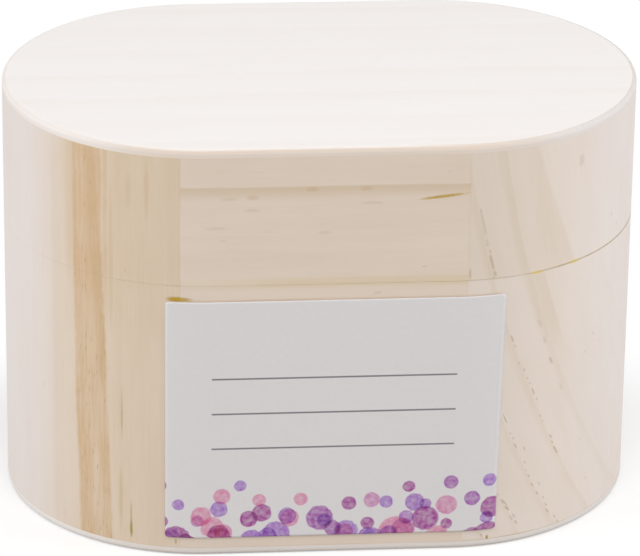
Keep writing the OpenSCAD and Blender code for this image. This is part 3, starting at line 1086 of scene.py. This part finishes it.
class HingeSettings(bpy.types.PropertyGroup):
    """Shape and finish of the brass hinges."""

    pocket_play: size_setting("Pocket play", "Room round each leaf in its pocket", 0.1 * MM)
    corner: size_setting("Leaf corner", "Radius of each leaf's free corners", 0.7 * MM)
    roll: angle_setting("Roll", "Angle that the sheet turns round the pin", 322)
    pin_dome: size_setting("Pin dome", "Height of the peened ends of each pin", 0.18 * MM)
    brass: colour_setting("Brass", "Clean brass", (0.74, 0.55, 0.25))
    tarnish: colour_setting("Tarnish", "Dulled brass", (0.44, 0.30, 0.13))


class LabelSettings(bpy.types.PropertyGroup):
    """Paper label and its print."""

    corner: size_setting("Corner", "Radius of the label's corners", 0.5 * MM)
    flare: size_setting("Flare", "How much the label widens from foot to head, at its right", 0.8 * MM)
    first_rule: size_setting("First rule", "Height of the lowest ruled line on the label", 15.5 * MM)
    rule_pitch: size_setting("Rule pitch", "Distance between ruled lines", 6.0 * MM)
    rule_length: size_setting("Rule length", "Length of each ruled line", 38.0 * MM)
    rule_count: bpy.props.IntProperty(name="Rules", description="Number of ruled lines", default=3, min=0)
    paper: colour_setting("Paper", "Paper colour", (0.695, 0.67, 0.67))
    paper_shade: colour_setting("Paper shade", "Darker fibres of the paper", (0.655, 0.63, 0.63))
    rule: colour_setting("Rule", "Colour of the ruled lines", (0.10, 0.09, 0.11))
    ink_rose: colour_setting("Rose ink", "First colour of the dabs", (0.90, 0.34, 0.55))
    ink_violet: colour_setting("Violet ink", "Second colour of the dabs", (0.45, 0.18, 0.72))
    ink_plum: colour_setting("Plum ink", "Third colour of the dabs", (0.45, 0.03, 0.38))


class StageSettings(bpy.types.PropertyGroup):
    """Camera, lights and floor."""

    azimuth: angle_setting("Azimuth", "Camera's turn round the box", -4.914)
    elevation: angle_setting("Elevation", "Camera's height over the table", 24.432)
    roll: angle_setting("Roll", "Camera's tilt about its own axis", 0.775)
    distance: size_setting("Distance", "From the camera to the middle of the box", 0.7618)
    lens: number_setting("Lens", "Focal length on a 36 mm sensor, in millimetres", 267.07)
    aim_right: size_setting("Aim right", "How far the camera stands right of the box's middle", 0.43 * MM)
    aim_up: size_setting("Aim up", "How far the camera stands over the line to the middle", -1.05 * MM)
    top_power: number_setting("Top lamp", "Power of the lamp overhead", 1.64, unit="POWER")
    side_power: number_setting("Side lamps", "Power of each side lamp", 1.64, unit="POWER")
    world_level: number_setting("World", "Level of the light from all round", 0.5)
    floor: colour_setting("Floor", "Colour of the floor under the light", (0.65, 0.65, 0.65))
    floor_glow: number_setting("Floor glow", "White that the floor adds where the camera sees it", 0.34)


class RoundBoxSettings(bpy.types.PropertyGroup):
    """All settings of the box."""

    timber: bpy.props.PointerProperty(type=TimberSettings, name="Timber", description="Wood of the box")
    hinge: bpy.props.PointerProperty(type=HingeSettings, name="Hinges", description="Brass hinges")
    label: bpy.props.PointerProperty(type=LabelSettings, name="Label", description="Paper label")
    stage: bpy.props.PointerProperty(type=StageSettings, name="Stage", description="Camera, lights and floor")


# Operators, one for each group of like pieces


def wall_values(part, side):
    """Sizes that every wall piece of the lid or the base has. Only the lid's rim sinks."""
    look = bpy.context.scene.round_box.timber
    is_lid = part == "lid"
    low, high = (LID_RIM, BOX_H - PANEL_T) if is_lid else (PANEL_T, BASE_RIM)
    return {
        "straight": STRAIGHT,
        "outer_radius": END_R,
        "inner_radius": INNER_R,
        "low": low,
        "high": high,
        "rim": low if is_lid else high,
        "ease": look.rim_ease,
        "left_rise": -look.seam_left if is_lid else 0.0,
        "right_rise": -look.seam_right if is_lid else 0.0,
        "side": float(side),
    }


class ROUNDBOX_OT_end_blocks(bpy.types.Operator):
    """Bends the four end block pieces, two for the lid and two for the base"""

    bl_idname = "round_box.end_blocks"
    bl_label = "End blocks"

    def execute(self, context):
        tree = end_block_tree()
        finishes = {"left": left_end_material(), "right": right_end_material()}
        for part in BODIES:
            for name, side in SIDES.items():
                node = f"{part}_{name}_end"
                values = wall_values(part, side)
                values["joint"] = JOINT_RIGHT if side > 0 else -JOINT_LEFT
                piece = grow(f"{node}_sanded", tree, finishes[name], **values, steps=BLOCK_STEPS)
                even_normals(piece)
                set_in_frame(piece, part, node)
        return {"FINISHED"}


def pocket_values(part, play):
    """Place and size of a back board's hinge pockets, from the leaf that lies in one of them."""
    low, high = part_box(f"right_hinge_{part}_leaf")
    return {
        "pocket_x": (low.x + high.x) / 2,
        "pocket_length": high.x - low.x + 2 * play,
        "pocket_front": low.y - play,
        "pocket_floor": high.z if part == "lid" else low.z,
    }


class ROUNDBOX_OT_boards(bpy.types.Operator):
    """Makes the front and back boards, the back ones with hinge pockets"""

    bl_idname = "round_box.boards"
    bl_label = "Boards"

    def execute(self, context):
        trees = {"front": board_tree("Front Board"), "back": board_tree("Back Board", POCKETS)}
        finishes = {"front": front_board_material(), "back": back_board_material()}
        play = context.scene.round_box.hinge.pocket_play
        for part in BODIES:
            for name, side in (("front", -1), ("back", 1)):
                node = f"{part}_{name}_board"
                values = {**wall_values(part, side), **pocket_values(part, play), "steps": BOARD_STEPS}
                values["start"], values["end"] = sorted((side * JOINT_LEFT, side * JOINT_RIGHT))
                piece = grow(f"{node}_sanded", trees[name], finishes[name], **values)
                even_normals(piece)
                set_in_frame(piece, part, node)
        return {"FINISHED"}


class ROUNDBOX_OT_panels(bpy.types.Operator):
    """Makes the thin top and bottom panels with their sanded outer edge"""

    bl_idname = "round_box.panels"
    bl_label = "Panels"

    def execute(self, context):
        tree = panel_tree()
        look = context.scene.round_box.timber
        edges = {"lid": (look.edge_pale, look.edge_tan), "base": (look.foot_pale, look.foot_tan)}
        for part, node in (("lid", "lid_top_panel"), ("base", "base_bottom_panel")):
            low, high = (corner.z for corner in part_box(node))
            outer = high if part == "lid" else low
            finish = panel_material(f"{part}_panel_timber", low, high, outer, *edges[part])
            piece = grow(
                f"{node}_sanded", tree, finish, straight=STRAIGHT, radius=END_R, low=low, high=high,
                sanded_level=outer, steps=PANEL_STEPS,
            )
            bevel = piece.modifiers.new("sanded edge", "BEVEL")
            bevel.limit_method = "WEIGHT"
            bevel.width = look.panel_ease
            bevel.segments = BEVEL_STEPS
            even_normals(piece)
            set_in_frame(piece, part, node)
        return {"FINISHED"}


def hinge_sizes(name, part):
    """Sizes of one leaf, its pin and its nails, read from their CAD nodes about the pin's axis."""
    low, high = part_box(f"{name}_hinge_{part}_leaf")
    pin_low, pin_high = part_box(f"{name}_hinge_pin")
    nails_low, nails_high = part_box(f"{name}_hinge_{part}_nails")
    head = nails_high.y - nails_low.y
    return {
        "length": high.x - low.x,
        "reach": HINGE_AXIS.y - low.y,
        "knuckle_radius": high.y - HINGE_AXIS.y,
        "pin_radius": (pin_high.z - pin_low.z) / 2,
        "head_radius": head / 2,
        "nail_x": (nails_high.x - nails_low.x - head) / 2,
        "nail_y": (nails_high.y + nails_low.y) / 2 - HINGE_AXIS.y,
        "nail_height": nails_high.z - nails_low.z,
        "way": 1.0 if part == "lid" else -1.0,
        "axis_x": (low.x + high.x) / 2,
        "axis_y": HINGE_AXIS.y,
        "axis_z": HINGE_AXIS.z,
    }


class ROUNDBOX_OT_hinge_leaves(bpy.types.Operator):
    """Rolls the four brass hinge leaves"""

    bl_idname = "round_box.hinge_leaves"
    bl_label = "Hinge leaves"

    def execute(self, context):
        look = context.scene.round_box.hinge
        trees = {
            "lid": rolled_leaf_tree("Lid Leaf", "middle_knuckle"),
            "base": rolled_leaf_tree("Base Leaf", "first_knuckle last_knuckle"),
        }
        for name in SIDES:
            for part in BODIES:
                sizes = hinge_sizes(name, part)
                length, radius = sizes["length"], sizes["knuckle_radius"]
                knuckle_l = (length - (KNUCKLES - 1) * KNUCKLE_GAP) / KNUCKLES
                first, middle, last = (i * (knuckle_l + KNUCKLE_GAP) - length / 2 for i in range(KNUCKLES))
                node = f"{name}_hinge_{part}_leaf"
                piece = grow(
                    f"{node}_rolled", trees[part], brass_material(), **sizes, plate_back=radius + LEAF_PLAY,
                    thickness=radius - sizes["pin_radius"] - PIN_PLAY, knuckle_length=knuckle_l,
                    corner=look.corner, roll=look.roll, nail_hole=NAIL_HOLE_R, first_knuckle=first,
                    middle_knuckle=middle, last_knuckle=last, steps=KNUCKLE_STEPS,
                )
                set_in_frame(piece, part, node)
        return {"FINISHED"}


class ROUNDBOX_OT_hinge_pins(bpy.types.Operator):
    """Makes the two hinge pins with peened ends"""

    bl_idname = "round_box.hinge_pins"
    bl_label = "Hinge pins"

    def execute(self, context):
        tree = pin_tree()
        dome = context.scene.round_box.hinge.pin_dome
        for name in SIDES:
            sizes = hinge_sizes(name, "base")
            node = f"{name}_hinge_pin"
            values = {**sizes, "radius": sizes["pin_radius"], "dome": dome}
            piece = grow(f"{node}_peened", tree, brass_material(), **values)
            set_in_frame(piece, "base", node)
        return {"FINISHED"}


class ROUNDBOX_OT_nails(bpy.types.Operator):
    """Sets two domed nails through each hinge leaf"""

    bl_idname = "round_box.nails"
    bl_label = "Nails"

    def execute(self, context):
        tree = nail_tree()
        for name in SIDES:
            for part in BODIES:
                sizes = hinge_sizes(name, part)
                node = f"{name}_hinge_{part}_nails"
                shank = sizes["nail_height"] - NAIL_EDGE - NAIL_DOME - SHANK_R
                piece = grow(
                    f"{node}_domed", tree, brass_material(), **sizes, count=NAILS,
                    spacing=sizes["nail_x"] * 2, head_level=sizes["pin_radius"] + PIN_PLAY,
                    head_edge=NAIL_EDGE, head_dome=NAIL_DOME, shank_radius=SHANK_R, shank_length=shank,
                )
                set_in_frame(piece, part, node)
        return {"FINISHED"}


def along_wall(x):
    """Distance along the front wall from its middle to the point at x."""
    over = max(0.0, abs(x) - STRAIGHT)
    return math.copysign(min(abs(x), STRAIGHT) + END_R * math.asin(over / END_R), x)


class ROUNDBOX_OT_label(bpy.types.Operator):
    """Lays the paper label on the base's front"""

    bl_idname = "round_box.label"
    bl_label = "Label"

    def execute(self, context):
        look = context.scene.round_box.label
        left, right = along_wall(LABEL_LOW.x), along_wall(LABEL_HIGH.x)
        width, height = right - left, LABEL_HIGH.z - LABEL_LOW.z
        thick = -LABEL_LOW.y - END_R
        glue = thick * GLUE_SHARE
        piece = grow(
            "front_label_paper", label_tree(), label_material(width / MM, height / MM), width=width,
            height=height, shift=(left + right) / 2, foot=LABEL_LOW.z, corner=look.corner, flare=look.flare,
            straight=STRAIGHT, radius=END_R + glue, columns=LABEL_COLUMNS, rows=LABEL_ROWS,
        )
        sheet = piece.modifiers.new("paper", "SOLIDIFY")
        sheet.thickness = thick - glue
        sheet.offset = 1.0
        set_in_frame(piece, "base", "front_label")
        return {"FINISHED"}


class ROUNDBOX_OT_stage(bpy.types.Operator):
    """Sets up the floor, the soft lights, the white surroundings and the camera"""

    bl_idname = "round_box.stage"
    bl_label = "Stage"

    def execute(self, context):
        look = context.scene.round_box.stage
        context.scene.view_settings.view_transform = "Standard"
        make_camera(context.scene, look)
        make_floor(context.scene, look)
        make_world(context.scene, look)
        make_lamps(context.scene, look)
        return {"FINISHED"}


MIDDLE = Vector((0.0, 0.0, BOX_H / 2))
SENSOR_WIDTH = 36.0
NEAREST_VIEW = 0.01
FLOOR_HALF = 3.0
SHADOW_REACH = (2.0, 28.0)
WHITE = rgba((1.0, 1.0, 1.0))
BLACK = rgba((0.0, 0.0, 0.0))


def make_camera(scene, look):
    """The camera of the photograph's viewing angle, aimed at the middle of the box."""
    azimuth, elevation = look.azimuth, look.elevation
    level = math.cos(elevation)
    back = Vector((math.sin(azimuth) * level, -math.cos(azimuth) * level, math.sin(elevation)))
    right = Vector((math.cos(azimuth), math.sin(azimuth), 0.0))
    up = back.cross(right)
    tilt = Matrix.Rotation(look.roll, 3, back)
    right, up = tilt @ right, tilt @ up
    data = bpy.data.cameras.new("camera")
    data.sensor_width = SENSOR_WIDTH
    data.lens = look.lens
    data.clip_start = NEAREST_VIEW
    camera = bpy.data.objects.new("camera", data)
    scene.collection.objects.link(camera)
    place = MIDDLE + back * look.distance + right * look.aim_right + up * look.aim_up
    turn = Matrix((right, up, back)).transposed().to_4x4()
    camera.matrix_world = Matrix.Translation(place) @ turn
    scene.camera = camera


def seen_ray(graph):
    """1 for rays that the camera sends, straight or by a mirror or glass."""
    labels = ("Is Camera Ray", "Is Glossy Ray", "Is Transmission Ray")
    seen, glossy, through = graph.outputs("ShaderNodeLightPath", {}, *labels)
    return seen.math("MAXIMUM", glossy).math("MAXIMUM", through)


def make_floor(scene, look):
    """A pale floor that keeps the box's shadow near it and is seen white further off."""
    corners = [(x * FLOOR_HALF, y * FLOOR_HALF, 0.0) for x, y in ((-1, -1), (1, -1), (1, 1), (-1, 1))]
    mesh = bpy.data.meshes.new("floor")
    mesh.from_pydata(corners, [], [(0, 1, 2, 3)])
    floor = bpy.data.objects.new("floor", mesh)
    scene.collection.objects.link(floor)
    material, graph, shader = new_material("floor_white")
    x, y, _ = graph.split(place_in_mm(graph))
    far = (from_middle_line(x, y) - END_R / MM).ramp(*SHADOW_REACH)
    seen = seen_ray(graph)
    values = {
        "Base Color": graph.mix(far * seen, rgba(look.floor), BLACK),
        "Roughness": 0.9,
        "Specular IOR Level": 0.0,
        "Emission Color": WHITE,
        "Emission Strength": seen * (far * (1.0 - look.floor_glow) + look.floor_glow),
    }
    graph.fill(shader, values)
    mesh.materials.append(material)


def make_world(scene, look):
    """Even light from all round, and a white background where the camera sees it."""
    world = bpy.data.worlds.new("white surroundings")
    world.use_nodes = True
    world.node_tree.nodes.clear()
    graph = Graph(world.node_tree)
    level = look.world_level + seen_ray(graph) * (1.0 - look.world_level)
    background = graph.fill(graph.add("ShaderNodeBackground"), {"Color": WHITE, "Strength": level})
    output = graph.add("ShaderNodeOutputWorld")
    graph.tree.links.new(background.outputs[0], output.inputs["Surface"])
    scene.world = world


def make_lamps(scene, look):
    """A broad soft lamp overhead and one at each side, all aimed at the box."""
    lamps = {
        "lamp_top": (Vector((0.0, -0.35, 0.6)), 0.5, look.top_power),
        "lamp_left": (Vector((-0.6, -0.15, 0.25)), 0.4, look.side_power),
        "lamp_right": (Vector((0.6, -0.15, 0.25)), 0.4, look.side_power),
    }
    for name, (place, size, power) in lamps.items():
        data = bpy.data.lights.new(name, "AREA")
        data.shape = "DISK"
        data.size = size
        data.energy = power
        lamp = bpy.data.objects.new(name, data)
        scene.collection.objects.link(lamp)
        lamp.location = place
        lamp.rotation_euler = (MIDDLE - place).to_track_quat("-Z", "Y").to_euler()


class ROUNDBOX_PT_sidebar(bpy.types.Panel):
    """Lists the steps that dress the box and its settings"""

    bl_idname = "ROUNDBOX_PT_sidebar"
    bl_label = "Round-ended box"
    bl_space_type = "VIEW_3D"
    bl_region_type = "UI"
    bl_category = "Box"

    def draw(self, context):
        for step in STEPS:
            self.layout.operator(step.bl_idname)
        for group in ("timber", "hinge", "label", "stage"):
            settings = getattr(context.scene.round_box, group)
            column = self.layout.box().column()
            for key in settings.__annotations__:
                column.prop(settings, key)


STEPS = (
    ROUNDBOX_OT_stage,
    ROUNDBOX_OT_panels,
    ROUNDBOX_OT_end_blocks,
    ROUNDBOX_OT_boards,
    ROUNDBOX_OT_hinge_leaves,
    ROUNDBOX_OT_hinge_pins,
    ROUNDBOX_OT_nails,
    ROUNDBOX_OT_label,
)
SETTINGS = (TimberSettings, HingeSettings, LabelSettings, StageSettings, RoundBoxSettings)
CLASSES = (*SETTINGS, *STEPS, ROUNDBOX_PT_sidebar)


def register():
    for item in CLASSES:
        bpy.utils.register_class(item)
    bpy.types.Scene.round_box = bpy.props.PointerProperty(
        type=RoundBoxSettings, name="Round-ended box", description="Settings of the round-ended box"
    )


def unregister():
    del bpy.types.Scene.round_box
    for item in reversed(CLASSES):
        bpy.utils.unregister_class(item)


def main():
    register()
    bpy.ops.round_box.stage()
    bpy.ops.round_box.panels()
    bpy.ops.round_box.end_blocks()
    bpy.ops.round_box.boards()
    bpy.ops.round_box.hinge_leaves()
    bpy.ops.round_box.hinge_pins()
    bpy.ops.round_box.nails()
    bpy.ops.round_box.label()


if __name__ == "__main__":
    main()
